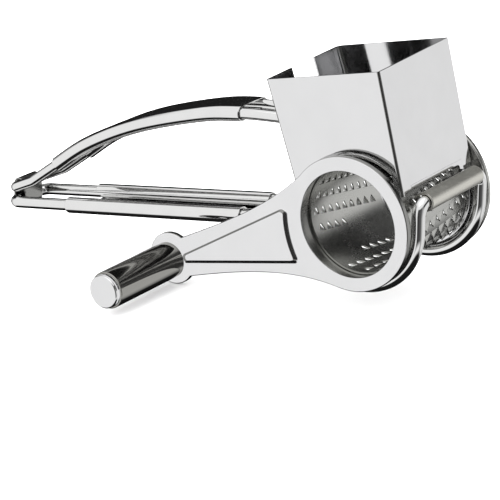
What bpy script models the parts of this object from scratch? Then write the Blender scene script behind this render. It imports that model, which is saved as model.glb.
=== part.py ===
"""Rotary cheese grater: a crank-driven grating drum under a square hopper, with two hinged handles.

The grater is laid out in its own frame and then set down on its base by one empty. In that
layout frame the drum turns about the Y axis, X runs from the handles (-X) to the hopper's
hinge (+X), Z points up the hopper, and Y runs from the crank (front) to the rear.
"""
import math

import bmesh
import bpy
from mathutils import Vector

MM = 0.001

# --- How the layout frame sits on the base ---------------------------------------------------
LEAN = math.radians(9.83)            # the handles' hinge and the cradle arcs end up level
DRUM_AXIS_FROM_ORIGIN = (81.03 * MM, -7.85 * MM, 38.877 * MM)

# --- Stations along the drum's axis -----------------------------------------------------------
HOPPER_FRONT = 5.9 * MM
HOPPER_REAR = 56.9 * MM
MIDDLE = 30.75 * MM
CRADLE_HALF_WIDTH = 22.95 * MM       # from the middle to the centre of each cradle arc

# --- Crank -------------------------------------------------------------------------------------
HEAD_RADIUS = 26.5 * MM
WINDOW_RADIUS = 20.9 * MM
KNOB_AXIS = (-88.4 * MM, -13.2 * MM)
BOSS_RADIUS = 10.8 * MM
PLATE_THICKNESS = 1.0 * MM
CRANK_SKIRT_DEPTH = 2.0 * MM
PRESSED_HEIGHT = 1.2 * MM
PRESSED_ARC_CENTRE = (10.1 * MM, -2.0 * MM)
PRESSED_ARC_RADIUS = 37.0 * MM

# --- Drum --------------------------------------------------------------------------------------
COLLAR_RADIUS = 23.3 * MM
COLLAR_BORE = 21.9 * MM
GRATER_RADIUS = 21.6 * MM
GRATER_WALL = 0.7 * MM
GRATER_FRONT = 7.0 * MM
GRATER_REAR = 54.8 * MM
FRONT_COLLAR = (1.3 * MM, 9.4 * MM)
REAR_COLLAR = (51.6 * MM, 57.1 * MM)
FLANGE_RADIUS = 28.2 * MM
FLANGE_FRONT = 57.4 * MM
FLANGE_THICKNESS = 0.8 * MM
FLANGE_DEPTH = 2.1 * MM
TOOTH_ROWS = 20
TEETH_PER_ROW = 9
TOOTH_PITCH = 4.75 * MM
TOOTH_HALF_WIDTH = 1.85 * MM
FIRST_TOOTH = 11.4 * MM
FIRST_ROW = math.radians(172)           # where the first row starts, 20 mm behind the crank
ROW_SLANT = math.radians(0.43) / MM
SEAM = (math.radians(198.5), math.radians(231.5))

# --- Frames and grips --------------------------------------------------------------------------
CRADLE_RADIUS = 26.3 * MM
LOWER_ROD_RADIUS = 2.6 * MM
UPPER_ROD_RADIUS = 2.3 * MM
ROD_SIDES = 12
LOWER_HALF_SPACING = 10.45 * MM
LOWER_HINGE_BAR = (-190.5 * MM, 6.35 * MM)
UPPER_HINGE_BAR = (-189.0 * MM, 12.4 * MM)
LOWER_LEG_SLOPE = -0.0608
KNUCKLE_AXIS = (28.0 * MM, 4.9 * MM)
CORNER_RADIUS = 4.5 * MM
GRIP_SHEET = 0.6 * MM
GRIP_GAP = 0.3 * MM
GRIP_WRAP = math.radians(250)
LOWER_GRIP_ENDS = (-157.0 * MM, -64.2 * MM)
UPPER_GRIP_ENDS = (-159.0 * MM, -57.5 * MM)

# --- Hopper ------------------------------------------------------------------------------------
SHEET = 0.8 * MM
HOPPER_TOP = 56.1 * MM
RIM_SLOPE = 0.033                       # the hopper's rim rises a little to the rear
HOPPER_BOTTOM = 8.7 * MM
HOPPER_TOP_X = (-29.8 * MM, 21.9 * MM)
HOPPER_BOTTOM_X = (-24.4 * MM, 23.2 * MM)
ARCH_RADIUS = 26.7 * MM
ARCH_HALF_WIDTH = 20.0 * MM
ARCH_FOOT_RADIUS = 23.7 * MM
PRESS_SLOT_WIDTH = 15.6 * MM
PRESS_SLOT_FOOT = 26.0 * MM
KNUCKLE_ENDS = (12.3 * MM, 49.8 * MM)
KNUCKLE_GAP = 0.3 * MM
WALL_SLOT_ENDS = (8.2 * MM, 47.4 * MM)
WALL_SLOT_HEIGHTS = (6.8 * MM, 10.0 * MM)

# --- Press -------------------------------------------------------------------------------------
PRESS_RADIUS = 24.3 * MM
PRESS_THICKNESS = 1.0 * MM
PRESS_HALF_ANGLE = math.radians(55)
PRESS_HALF_LENGTH = 22.5 * MM

# --- Knob --------------------------------------------------------------------------------------
KNOB_RADIUS = 7.5 * MM
KNOB_BORE = 6.6 * MM
BUSH_RADIUS = 6.3 * MM
CAP_RADIUS = 6.8 * MM
KNOB_END = -43.8 * MM
AXLE_RADIUS = 2.0 * MM


# --- Scene helpers -----------------------------------------------------------------------------
def clear_scene():
    """Remove every object, so that the script gives the same model each time it is run."""
    for thing in list(bpy.data.objects):
        bpy.data.objects.remove(thing, do_unlink=True)


def material(name, color, roughness, metallic=1.0):
    """A Principled material of one colour, roughness and metallic value."""
    made = bpy.data.materials.new(name)
    made.use_nodes = True
    shader = made.node_tree.nodes["Principled BSDF"]
    shader.inputs["Base Color"].default_value = (*color, 1.0)
    shader.inputs["Roughness"].default_value = roughness
    shader.inputs["Metallic"].default_value = metallic
    return made


def empty(name, place, parent=None):
    """An empty at a place in the layout frame, used as a frame or as a joint's axis."""
    made = bpy.data.objects.new(name, None)
    made.empty_display_size = 10 * MM
    bpy.context.scene.collection.objects.link(made)
    offset = Vector(place)
    if parent is not None:
        made.parent = parent
        offset = offset - layout_place(parent)
    made.location = offset
    return made


def layout_place(frame):
    """Where an empty stands in the layout frame: the sum of the locations above it."""
    place = Vector((0, 0, 0))
    while frame is not None and not frame.name.startswith("base"):
        place += frame.location
        frame = frame.parent
    return place


def add(name, bm, look, parent):
    """A named object from a bmesh in layout coordinates, under the empty of its body."""
    bmesh.ops.recalc_face_normals(bm, faces=bm.faces)
    bmesh.ops.translate(bm, verts=bm.verts, vec=-layout_place(parent))
    mesh = bpy.data.meshes.new(name)
    bm.to_mesh(mesh)
    bm.free()
    mesh.shade_smooth()
    mesh.set_sharp_from_angle(angle=math.radians(40))
    mesh.materials.append(look)
    made = bpy.data.objects.new(name, mesh)
    made.parent = parent
    bpy.context.scene.collection.objects.link(made)
    return made


def combine(piece, other, operation):
    """Cut the piece with a hidden tool, or join the tool to it."""
    other.hide_render = True
    other.display_type = "WIRE"
    step = piece.modifiers.new(operation.title(), "BOOLEAN")
    step.operation = operation
    step.object = other
    step.solver = "EXACT"


# --- Shape helpers -----------------------------------------------------------------------------
def loft(loops, closed=False):
    """A solid through loops of equally many points, capped at its ends unless it closes up."""
    bm = bmesh.new()
    rings = [[bm.verts.new(point) for point in loop] for loop in loops]
    count = len(rings[0])
    pairs = list(zip(rings, rings[1:]))
    if closed:
        pairs.append((rings[-1], rings[0]))
    for one, two in pairs:
        for i in range(count):
            j = (i + 1) % count
            bm.faces.new((one[i], one[j], two[j], two[i]))
    if not closed:
        bm.faces.new(rings[0])
        bm.faces.new(reversed(rings[-1]))
    return bm


def prism(outline, low, high):
    """An outline of (x, z) points extruded along Y from low to high."""
    return loft([[(x, y, z) for x, z in outline] for y in (low, high)])


def prism_along_x(outline, low, high):
    """An outline of (y, z) points extruded along X from low to high."""
    return loft([[(x, y, z) for y, z in outline] for x in (low, high)])


def arc(centre, radius, start, end, steps):
    """Points on an arc about a centre, angles in degrees, both ends included."""
    angles = [math.radians(start + (end - start) * i / steps) for i in range(steps + 1)]
    return [(centre[0] + radius * math.cos(a), centre[1] + radius * math.sin(a)) for a in angles]


def circle(centre, radius, steps):
    """Points round a full circle, the first not repeated."""
    return arc(centre, radius, 0, 360, steps)[:-1]


def turned(profile, centre, steps, closed=True):
    """A body turned about a line along Y through centre, from (radius, y) points.

    A closed profile makes a ring. An open one starts and ends on the axis, as a pin does.
    """
    bm = bmesh.new()
    rings = []
    for radius, y in profile:
        if radius == 0:
            rings.append([bm.verts.new((centre[0], y, centre[1]))])
        else:
            rings.append([bm.verts.new((x, y, z)) for x, z in circle(centre, radius, steps)])
    pairs = list(zip(rings, rings[1:]))
    if closed:
        pairs.append((rings[-1], rings[0]))
    for one, two in pairs:
        for i in range(steps):
            j = (i + 1) % steps
            corners = [one[i % len(one)], one[j % len(one)], two[j % len(two)], two[i % len(two)]]
            bm.faces.new(list(dict.fromkeys(corners)))
    return bm


def cubic(start, pull_start, pull_end, end, steps):
    """Points along a cubic Bezier curve, both ends included."""
    points = []
    for i in range(steps + 1):
        t = i / steps
        weights = ((1 - t) ** 3, 3 * t * (1 - t) ** 2, 3 * t * t * (1 - t), t ** 3)
        corners = (start, pull_start, pull_end, end)
        points.append(tuple(sum(w * p[k] for w, p in zip(weights, corners)) for k in range(2)))
    return points


def inset(outline, distance):
    """A closed outline moved inwards by a distance, corner by corner (outline counterclockwise)."""
    moved = []
    count = len(outline)
    for i, (x, z) in enumerate(outline):
        before, after = Vector(outline[i - 1]), Vector(outline[(i + 1) % count])
        here = Vector((x, z))
        first = (here - before).normalized()
        second = (after - here).normalized()
        normal_one = Vector((-first.y, first.x))
        normal_two = Vector((-second.y, second.x))
        bisector = (normal_one + normal_two).normalized()
        reach = distance / max(0.3, bisector.dot(normal_one))
        moved.append(tuple(here + bisector * reach))
    return moved


def ribbon(line, thickness):
    """The closed outline of a sheet of some thickness that follows an open line of (x, z) points."""
    sides = {1: [], -1: []}
    for i, point in enumerate(line):
        before = Vector(line[max(i - 1, 0)])
        after = Vector(line[min(i + 1, len(line) - 1)])
        along = (after - before).normalized()
        across = Vector((-along.y, along.x)) * thickness / 2
        for side, points in sides.items():
            points.append(tuple(Vector(point) + across * side))
    return sides[1] + sides[-1][::-1]


def smooth_line(points, per_span):
    """Points on a Catmull-Rom curve through the given points, of any dimension."""
    points = [Vector(p) for p in points]
    padded = [2 * points[0] - points[1], *points, 2 * points[-1] - points[-2]]
    line = []
    for a, b, c, d in zip(padded, padded[1:], padded[2:], padded[3:]):
        for i in range(per_span):
            t = i / per_span
            line.append(0.5 * (2 * b + (c - a) * t + (2 * a - 5 * b + 4 * c - d) * t * t
                               + (3 * b - a - 3 * c + d) * t ** 3))
    return [*line, points[-1]]


def rounded_path(corners, closed, steps=4):
    """A path through (point, radius) corners, each turned into an arc of its radius."""
    path = []
    count = len(corners)
    for i, (point, radius) in enumerate(corners):
        here = Vector(point)
        ends = not closed and i in (0, count - 1)
        if radius == 0 or ends:
            path.append(here)
            continue
        to_before = (Vector(corners[i - 1][0]) - here).normalized()
        to_after = (Vector(corners[(i + 1) % count][0]) - here).normalized()
        half = to_before.angle(to_after) / 2
        start = here + to_before * radius / math.tan(half)
        centre = here + (to_before + to_after).normalized() * radius / math.sin(half)
        end = here + to_after * radius / math.tan(half)
        sweep = math.pi - 2 * half
        for k in range(steps + 1):
            a = sweep * k / steps
            one = math.sin(sweep - a) / math.sin(sweep)
            two = math.sin(a) / math.sin(sweep)
            path.append(centre + (start - centre) * one + (end - centre) * two)
    return path


def rod(path, radius, closed):
    """A round rod along a path, with its sides carried along without twist."""
    count = len(path)
    tangents = []
    for i in range(count):
        before = path[i - 1] if closed or i else path[0]
        after = path[(i + 1) % count] if closed or i < count - 1 else path[-1]
        tangents.append((after - before).normalized())
    normal = tangents[0].orthogonal().normalized()
    normals = [normal]
    for one, two in zip(tangents, tangents[1:]):
        normal = one.rotation_difference(two) @ normal
        normals.append(normal.normalized())
    twist = 0.0
    if closed:
        last = tangents[-1].rotation_difference(tangents[0]) @ normals[-1]
        twist = last.angle(normals[0])
        if last.cross(normals[0]).dot(tangents[0]) < 0:
            twist = -twist
    loops = []
    for i, (point, along, side) in enumerate(zip(path, tangents, normals)):
        other = along.cross(side)
        turn = twist * i / count
        angles = [turn + 2 * math.pi * k / ROD_SIDES for k in range(ROD_SIDES)]
        loops.append([point + radius * (math.cos(a) * side + math.sin(a) * other) for a in angles])
    return loft(loops, closed)


# --- Hopper ------------------------------------------------------------------------------------
def hopper_wall_x(side, z):
    """Where the outer face of the left (0) or right (1) wall is at a height."""
    share = (z - HOPPER_BOTTOM) / (HOPPER_TOP - HOPPER_BOTTOM)
    return HOPPER_BOTTOM_X[side] + share * (HOPPER_TOP_X[side] - HOPPER_BOTTOM_X[side])


def hopper_block(wall, low, high, slope=0.0):
    """The hopper's tapered block between two heights, moved in by a wall thickness."""
    front, rear = HOPPER_FRONT + wall, HOPPER_REAR - wall
    loops = []
    for z, rise in ((low, 0), (high, slope * (HOPPER_REAR - HOPPER_FRONT))):
        ends = [(y, height, hopper_wall_x(0, height) + wall, hopper_wall_x(1, height) - wall)
                for y, height in ((front, z), (rear, z + rise))]
        (near, near_z, near_left, near_right), (far, far_z, far_left, far_right) = ends
        loops.append([(near_left, near, near_z), (near_right, near, near_z),
                      (far_right, far, far_z), (far_left, far, far_z)])
    return loft(loops)


def knuckle_line():
    """The middle of the sheet that leaves the hopper's right wall and rolls round the hinge bar."""
    root = hopper_wall_x(1, HOPPER_BOTTOM) - SHEET / 2
    radius = LOWER_ROD_RADIUS + KNUCKLE_GAP + SHEET / 2
    return [(root, 11.5 * MM), (root, 8.2 * MM), (root + 0.3 * MM, 6.9 * MM),
            *arc(KNUCKLE_AXIS, radius, 112, -135, 13)]


def make_hopper(look, parent):
    """One folded sheet: four walls, arches over the drum, a slot for the press and a knuckle."""
    spare = 5 * MM
    hopper = add("hopper_shell", hopper_block(0, HOPPER_BOTTOM, HOPPER_TOP, RIM_SLOPE), look, parent)
    inside = hopper_block(SHEET, HOPPER_BOTTOM - spare, HOPPER_TOP + spare)
    combine(hopper, add("cut_hopper_inside", inside, look, parent), "DIFFERENCE")
    knuckle = prism(ribbon(knuckle_line(), SHEET), *KNUCKLE_ENDS)
    combine(hopper, add("tool_hopper_knuckle", knuckle, look, parent), "UNION")
    low, high = [math.degrees(math.acos(ARCH_HALF_WIDTH / r)) for r in (ARCH_FOOT_RADIUS, ARCH_RADIUS)]
    doorway = [*arc((0, 0), ARCH_FOOT_RADIUS, 0, low, 8), *arc((0, 0), ARCH_RADIUS, high, 180 - high, 24),
               *arc((0, 0), ARCH_FOOT_RADIUS, 180 - low, 180, 8)]
    arch = prism(doorway, HOPPER_FRONT - spare, HOPPER_REAR + spare)
    combine(hopper, add("cut_hopper_arch", arch, look, parent), "DIFFERENCE")
    half = PRESS_SLOT_WIDTH / 2
    slot = [(MIDDLE - half, PRESS_SLOT_FOOT), (MIDDLE + half, PRESS_SLOT_FOOT),
            (MIDDLE + half, HOPPER_TOP + spare), (MIDDLE - half, HOPPER_TOP + spare)]
    press_slot = prism_along_x(slot, HOPPER_TOP_X[0] - spare, -20 * MM)
    combine(hopper, add("cut_press_slot", press_slot, look, parent), "DIFFERENCE")
    radius = (WALL_SLOT_HEIGHTS[1] - WALL_SLOT_HEIGHTS[0]) / 2
    height = sum(WALL_SLOT_HEIGHTS) / 2
    obround = [*arc((WALL_SLOT_ENDS[1] - radius, height), radius, -90, 90, 8),
               *arc((WALL_SLOT_ENDS[0] + radius, height), radius, 90, 270, 8)]
    wall_slot = prism_along_x(obround, HOPPER_BOTTOM_X[1] - 3 * MM, HOPPER_BOTTOM_X[1] + 0.6 * MM)
    combine(hopper, add("cut_wall_slot", wall_slot, look, parent), "DIFFERENCE")
    return hopper


# --- Frames ------------------------------------------------------------------------------------
def lower_leg_z(x):
    """Height of the lower frame's straight legs."""
    return LOWER_HINGE_BAR[1] + LOWER_LEG_SLOPE * (x - LOWER_HINGE_BAR[0])


def lower_side(side):
    """Corners of the lower frame on one side (-1 front, 1 rear), from handle to knuckle."""
    narrow = MIDDLE + side * LOWER_HALF_SPACING
    wide = MIDDLE + side * CRADLE_HALF_WIDTH
    bend, join, turn = -57 * MM, -37 * MM, -27.6 * MM
    corners = [((LOWER_HINGE_BAR[0], narrow, LOWER_HINGE_BAR[1]), CORNER_RADIUS),
               ((bend, narrow, lower_leg_z(bend)), 10 * MM),
               ((join, wide, lower_leg_z(join)), 8 * MM),
               ((turn, wide, lower_leg_z(turn)), 4.5 * MM)]
    cradle = arc((0, 0), CRADLE_RADIUS, 201, 348, 14)
    corners += [((x, wide, z), 0) for x, z in cradle]
    corners.append(((KNUCKLE_AXIS[0], wide, KNUCKLE_AXIS[1]), CORNER_RADIUS))
    return corners


def make_lower_frame(look, parent):
    """One rod bent into a closed loop: hinge bar, handle legs, two cradle arcs, knuckle bar."""
    path = rounded_path(lower_side(-1) + lower_side(1)[::-1], closed=True)
    return add("lower_frame_rod", rod(path, LOWER_ROD_RADIUS, closed=True), look, parent)


def upper_line():
    """Middle line of the upper frame as (x, half spacing, z), from its hinge to the press."""
    points = ((-175.5, 10.45, 15.4), (-160.9, 10.4, 21.7), (-139.5, 9.7, 30.7),
              (-111.6, 8.7, 37.3), (-78.3, 7.7, 40.3), (-58.3, 7.4, 39.6), (-42.6, 6.4, 37.4),
              (-29.0, 5.0, 34.6), (-18.0, 5.0, 31.0), (-6.0, 5.0, 27.95), (9.0, 5.0, 27.9))
    return smooth_line([Vector(p) * MM for p in points], 2)


def make_upper_frame(look, parent):
    """One rod bent into a U: its bar is the hinge, its two ends lie on the press plate."""
    x, z = UPPER_HINGE_BAR
    half = upper_line()[0].y
    front = [(Vector((p.x, MIDDLE - p.y, p.z)), 0) for p in upper_line()]
    rear = [(Vector((p.x, MIDDLE + p.y, p.z)), 0) for p in upper_line()]
    bar = [((x, MIDDLE - half, z), CORNER_RADIUS), ((x, MIDDLE + half, z), CORNER_RADIUS)]
    path = rounded_path(front[::-1] + bar + rear, closed=False)
    return add("upper_frame_rod", rod(path, UPPER_ROD_RADIUS, closed=False), look, parent)


def grip_section(half, rod_radius, side):
    """A grip's cross-section as (across, away) points: a web on one side and two curled edges."""
    inner = rod_radius + GRIP_GAP
    outer = inner + GRIP_SHEET
    steps = 9
    sweep = [math.pi / 2 + GRIP_WRAP * i / steps for i in range(steps + 1)]
    near_outer = [(-half + outer * math.cos(a), side * outer * math.sin(a)) for a in sweep]
    near_inner = [(-half + inner * math.cos(a), side * inner * math.sin(a)) for a in sweep]
    far_outer = [(-across, away) for across, away in near_outer]
    far_inner = [(-across, away) for across, away in near_inner]
    return near_outer[::-1] + far_outer + far_inner[::-1] + near_inner


def make_grip(name, line, rod_radius, side, look, parent):
    """A sheet grip along a middle line of (x, half spacing, z), curled round both rods."""
    loops = []
    for i, point in enumerate(line):
        before, after = line[max(i - 1, 0)], line[min(i + 1, len(line) - 1)]
        along = Vector((after.x - before.x, 0, after.z - before.z)).normalized()
        away = Vector((-along.z, 0, along.x))
        centre = Vector((point.x, MIDDLE, point.z))
        section = grip_section(point.y, rod_radius, side)
        loops.append([centre + Vector((0, s, 0)) + away * n for s, n in section])
    return add(name, loft(loops), look, parent)


def lower_grip_line():
    """Middle line of the lower grip as (x, half spacing, z)."""
    return [Vector((x, LOWER_HALF_SPACING, lower_leg_z(x))) for x in LOWER_GRIP_ENDS]


def point_at_x(line, x):
    """The point of a line of growing x at a given x."""
    for one, two in zip(line, line[1:]):
        if one.x <= x <= two.x:
            return one.lerp(two, (x - one.x) / (two.x - one.x))
    raise ValueError("x is past the line's ends")


def upper_grip_line():
    """The stretch of the upper frame's middle line that the upper grip covers."""
    low, high = UPPER_GRIP_ENDS
    line = upper_line()
    inside = [p for p in line if low < p.x < high]
    return [point_at_x(line, low), *inside, point_at_x(line, high)]


def make_hinge_sleeve(look, parent):
    """An oval strap round both hinge bars."""
    lower_bore = LOWER_ROD_RADIUS + 0.3 * MM
    upper_bore = UPPER_ROD_RADIUS + 0.3 * MM
    lean = math.degrees(math.atan2(UPPER_HINGE_BAR[1] - LOWER_HINGE_BAR[1],
                                   UPPER_HINGE_BAR[0] - LOWER_HINGE_BAR[0]))

    def oval(spare):
        return (arc(UPPER_HINGE_BAR, upper_bore + spare, lean - 90, lean + 90, 8)
                + arc(LOWER_HINGE_BAR, lower_bore + spare, lean + 90, lean + 270, 8))

    half = LOWER_HALF_SPACING - CORNER_RADIUS - 0.4 * MM
    sleeve = add("hinge_sleeve", prism(oval(0.8 * MM), MIDDLE - half, MIDDLE + half), look, parent)
    hole = prism(oval(0), MIDDLE - 2 * half, MIDDLE + 2 * half)
    combine(sleeve, add("cut_hinge_sleeve", hole, look, parent), "DIFFERENCE")
    return sleeve


# --- Press -------------------------------------------------------------------------------------
def make_press_plate(look, parent):
    """A curved plate that follows the drum and pushes the cheese down on it."""
    half = math.degrees(PRESS_HALF_ANGLE)
    middle = PRESS_RADIUS + PRESS_THICKNESS / 2
    section = ribbon(arc((0, 0), middle, 90 - half, 90 + half, 16), PRESS_THICKNESS)
    plate = prism(section, MIDDLE - PRESS_HALF_LENGTH, MIDDLE + PRESS_HALF_LENGTH)
    return add("press_plate", plate, look, parent)


# --- Drum --------------------------------------------------------------------------------------
def crank_outline():
    """The crank plate's outline, counterclockwise: boss, lower edge, head, upper edge."""
    boss = arc(KNOB_AXIS, BOSS_RADIUS, 52, 315, 18)
    lower = cubic(boss[-1], (-52 * MM, -18 * MM), (-29 * MM, -17.4 * MM), (-9 * MM, -24.93 * MM), 8)
    head = arc((0, 0), HEAD_RADIUS, 250.15, 492.2, 32)
    upper = cubic(head[-1], (-37.8 * MM, 6.6 * MM), (-58.5 * MM, 1.8 * MM), boss[0], 8)
    return boss + lower[1:-1] + head + upper[1:-1]


def pressed_outline(share):
    """The pressed triangle in the crank's arm: a share of 0 is its foot, 1 its raised face."""
    corners = [((-95.0 + 10.9 * share, -15.3 + 1.8 * share), 2.25 - 1.3 * share),
               ((-24.5 - 3.0 * share, -15.3 + 1.8 * share), 2.0 - share),
               ((-25.4 - 3.0 * share, 8.7 - 2.94 * share), 2.4 - 1.2 * share)]
    tip, low, high = [(Vector((x * MM, z * MM, 0)), radius * MM) for (x, z), radius in corners]
    side = arc(PRESSED_ARC_CENTRE, PRESSED_ARC_RADIUS + 2.2 * MM * share, 194.9 - 1.5 * share,
               169.4 + 3.5 * share, 4)
    path = rounded_path([tip, low, *[(Vector((*p, 0)), 0) for p in side], high], closed=True, steps=4)
    return [(p.x, p.y) for p in path]


def make_crank_plate(look, parent):
    """Plate with a bent-back edge, the drum's window and a triangle pressed outwards."""
    outline = crank_outline()
    plate = add("crank_plate", prism(outline, 0, CRANK_SKIRT_DEPTH), look, parent)
    hollow = prism(inset(outline, PLATE_THICKNESS), PLATE_THICKNESS, CRANK_SKIRT_DEPTH + 2 * MM)
    combine(plate, add("cut_crank_hollow", hollow, look, parent), "DIFFERENCE")
    foot, face = pressed_outline(0), pressed_outline(1)
    raised = loft([[(x, y, z) for x, z in loop]
                   for loop, y in ((foot, PLATE_THICKNESS / 2), (foot, 0), (face, -PRESSED_HEIGHT))])
    combine(plate, add("tool_crank_raised", raised, look, parent), "UNION")
    low, high = pressed_outline(0.35), pressed_outline(1.25)
    pan_steps = ((high, PLATE_THICKNESS - PRESSED_HEIGHT), (low, PLATE_THICKNESS),
                 (low, 2 * PLATE_THICKNESS))
    pan = loft([[(x, y, z) for x, z in loop] for loop, y in pan_steps])
    combine(plate, add("cut_crank_pan", pan, look, parent), "DIFFERENCE")
    window = prism(circle((0, 0), WINDOW_RADIUS, 48), -2 * MM, 2 * CRANK_SKIRT_DEPTH)
    combine(plate, add("cut_crank_window", window, look, parent), "DIFFERENCE")
    hole = prism(circle(KNOB_AXIS, AXLE_RADIUS + 0.3 * MM, 16), -2 * MM, 2 * CRANK_SKIRT_DEPTH)
    combine(plate, add("cut_crank_hole", hole, look, parent), "DIFFERENCE")
    return plate


def make_collar(name, ends, look, parent):
    """A plain ring that runs in a cradle arc."""
    start, end = ends
    ring = [(COLLAR_BORE, start), (COLLAR_RADIUS, start), (COLLAR_RADIUS, end), (COLLAR_BORE, end)]
    return add(name, turned(ring, (0, 0), 48), look, parent)


def make_rear_flange(look, parent):
    """The disc that keeps the drum from sliding out to the front, with a bent-back rim."""
    front, back = FLANGE_FRONT, FLANGE_FRONT + FLANGE_DEPTH
    inner = FLANGE_RADIUS - FLANGE_THICKNESS
    ring = [(COLLAR_BORE, front), (FLANGE_RADIUS, front), (FLANGE_RADIUS, back), (inner, back),
            (inner, front + FLANGE_THICKNESS), (COLLAR_BORE, front + FLANGE_THICKNESS)]
    return add("drum_rear_flange", turned(ring, (0, 0), 48), look, parent)


def make_grater_cylinder(look, parent):
    """A thin tube pierced by slanting rows of triangular teeth openings, plain along its seam."""
    bm = bmesh.new()
    columns = TOOTH_ROWS * 2
    low_edge = FIRST_TOOTH - TOOTH_PITCH / 2
    edges = [low_edge + TOOTH_PITCH * k for k in range(TEETH_PER_ROW + 1)]
    stations = [GRATER_FRONT, *edges, GRATER_REAR]
    last = len(stations) - 1
    radii = (GRATER_RADIUS, GRATER_RADIUS - GRATER_WALL)

    def stagger(column):
        return (0.14 if column // 2 % 2 else -0.14) * TOOTH_PITCH

    def turn(column, y):
        return FIRST_ROW + 2 * math.pi * column / columns + ROW_SLANT * (y - 20 * MM)

    def corner(radius, column, y):
        angle = turn(column, y)
        return (radius * math.cos(angle), y, radius * math.sin(angle))

    def height(column, station):
        return stations[station] + (stagger(column) if 0 < station < last else 0)

    grids = [[[bm.verts.new(corner(radius, c, height(c, s))) for s in range(last + 1)]
              for c in range(columns)] for radius in radii]
    for c in range(columns):
        n = (c + 1) % columns
        for s in range(last):
            middle = (stations[s] + stations[s + 1]) / 2 + stagger(c)
            angle = turn(c + 0.5, middle) % (2 * math.pi)
            if c % 2 or s in (0, last - 1) or SEAM[0] < angle < SEAM[1]:
                for grid in grids:
                    bm.faces.new((grid[c][s], grid[n][s], grid[n][s + 1], grid[c][s + 1]))
                continue
            holes = []
            for radius, grid in zip(radii, grids):
                tip, base = c + 0.08, c + 0.92
                hole = [bm.verts.new(corner(radius, tip, middle)),
                        bm.verts.new(corner(radius, base, middle - TOOTH_HALF_WIDTH)),
                        bm.verts.new(corner(radius, base, middle + TOOTH_HALF_WIDTH))]
                quad = (grid[c][s], grid[n][s], grid[n][s + 1], grid[c][s + 1])
                bm.faces.new((quad[0], hole[0], quad[3]))
                bm.faces.new((quad[0], quad[1], hole[1], hole[0]))
                bm.faces.new((quad[1], quad[2], hole[2], hole[1]))
                bm.faces.new((quad[2], quad[3], hole[0], hole[2]))
                holes.append(hole)
            for i in range(3):
                j = (i + 1) % 3
                bm.faces.new((holes[0][i], holes[0][j], holes[1][j], holes[1][i]))
    for c in range(columns):
        n = (c + 1) % columns
        for s in (0, last):
            bm.faces.new((grids[0][c][s], grids[0][n][s], grids[1][n][s], grids[1][c][s]))
    return add("drum_grater_cylinder", bm, look, parent)


# --- Knob --------------------------------------------------------------------------------------
def make_knob_axle(look, parent):
    """Shouldered rivet, fixed in the crank plate, that the knob turns on."""
    tip = KNOB_END + 3.2 * MM
    profile = [(0, tip), (3.4 * MM, tip), (3.4 * MM, tip + 1.2 * MM), (AXLE_RADIUS, tip + 1.2 * MM),
               (AXLE_RADIUS, 1.3 * MM), (4.0 * MM, 1.3 * MM), (3.4 * MM, 2.6 * MM), (0, 2.6 * MM)]
    return add("knob_axle", turned(profile, KNOB_AXIS, 20, closed=False), look, parent)


def make_knob_ring(name, bore, radius, start, end, look, parent):
    """A plain ring about the knob's axis."""
    ring = [(bore, start), (radius, start), (radius, end), (bore, end)]
    return add(name, turned(ring, KNOB_AXIS, 24), look, parent)


def make_knob_end_cap(look, parent):
    """The plug that closes the knob's outer end, with a face a little smaller than the sleeve."""
    face, step, spigot = KNOB_END, KNOB_END + 2.3 * MM, KNOB_END + 2.9 * MM
    profile = [(0, face), (CAP_RADIUS - 0.4 * MM, face), (CAP_RADIUS, face + 0.4 * MM), (CAP_RADIUS, step),
               (BUSH_RADIUS, step), (BUSH_RADIUS, spigot), (0, spigot)]
    return add("knob_end_cap", turned(profile, KNOB_AXIS, 24, closed=False), look, parent)


# --- Assembly ----------------------------------------------------------------------------------
def build():
    """Make every piece of the grater under the empties of its moving bodies."""
    clear_scene()
    polished = material("polished_steel", (0.78, 0.78, 0.77), 0.12)
    satin = material("satin_steel", (0.66, 0.66, 0.65), 0.28)
    dark = material("dark_chrome", (0.36, 0.36, 0.35), 0.10)
    nylon = material("white_nylon", (0.85, 0.85, 0.82), 0.5, metallic=0.0)

    base = empty("base", DRUM_AXIS_FROM_ORIGIN)
    base.rotation_euler = (0, -LEAN, 0)
    drum = empty("drum_axis", (0, 0, 0), base)
    knob = empty("knob_axis", (KNOB_AXIS[0], 0, KNOB_AXIS[1]), drum)
    press = empty("press_hinge", (UPPER_HINGE_BAR[0], MIDDLE, UPPER_HINGE_BAR[1]), base)

    make_hopper(polished, base)
    make_lower_frame(polished, base)
    make_grip("lower_grip", lower_grip_line(), LOWER_ROD_RADIUS, -1, polished, base)
    make_hinge_sleeve(satin, base)

    make_upper_frame(polished, press)
    make_grip("upper_grip", upper_grip_line(), UPPER_ROD_RADIUS, 1, polished, press)
    make_press_plate(satin, press)

    make_crank_plate(polished, drum)
    make_collar("drum_front_collar", FRONT_COLLAR, polished, drum)
    make_collar("drum_rear_collar", REAR_COLLAR, polished, drum)
    make_rear_flange(polished, drum)
    make_grater_cylinder(satin, drum)
    make_knob_axle(satin, drum)

    make_knob_ring("knob_washer", 2.4 * MM, 5.2 * MM, -1.2 * MM, -0.4 * MM, nylon, drum)
    make_knob_ring("knob_sleeve", KNOB_BORE, KNOB_RADIUS, -41.2 * MM, -1.6 * MM, dark, knob)
    make_knob_ring("knob_inner_bush", 2.1 * MM, BUSH_RADIUS, -7.5 * MM, -1.8 * MM, nylon, knob)
    make_knob_ring("knob_outer_bush", 2.1 * MM, BUSH_RADIUS, -39.0 * MM, -33.0 * MM, nylon, knob)
    make_knob_end_cap(dark, knob)


build()
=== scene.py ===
"""Rotary cheese grater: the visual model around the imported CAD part, with its studio."""
import math

import bmesh
import bpy
from mathutils import Matrix, Vector
from mathutils.geometry import delaunay_2d_cdt


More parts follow.
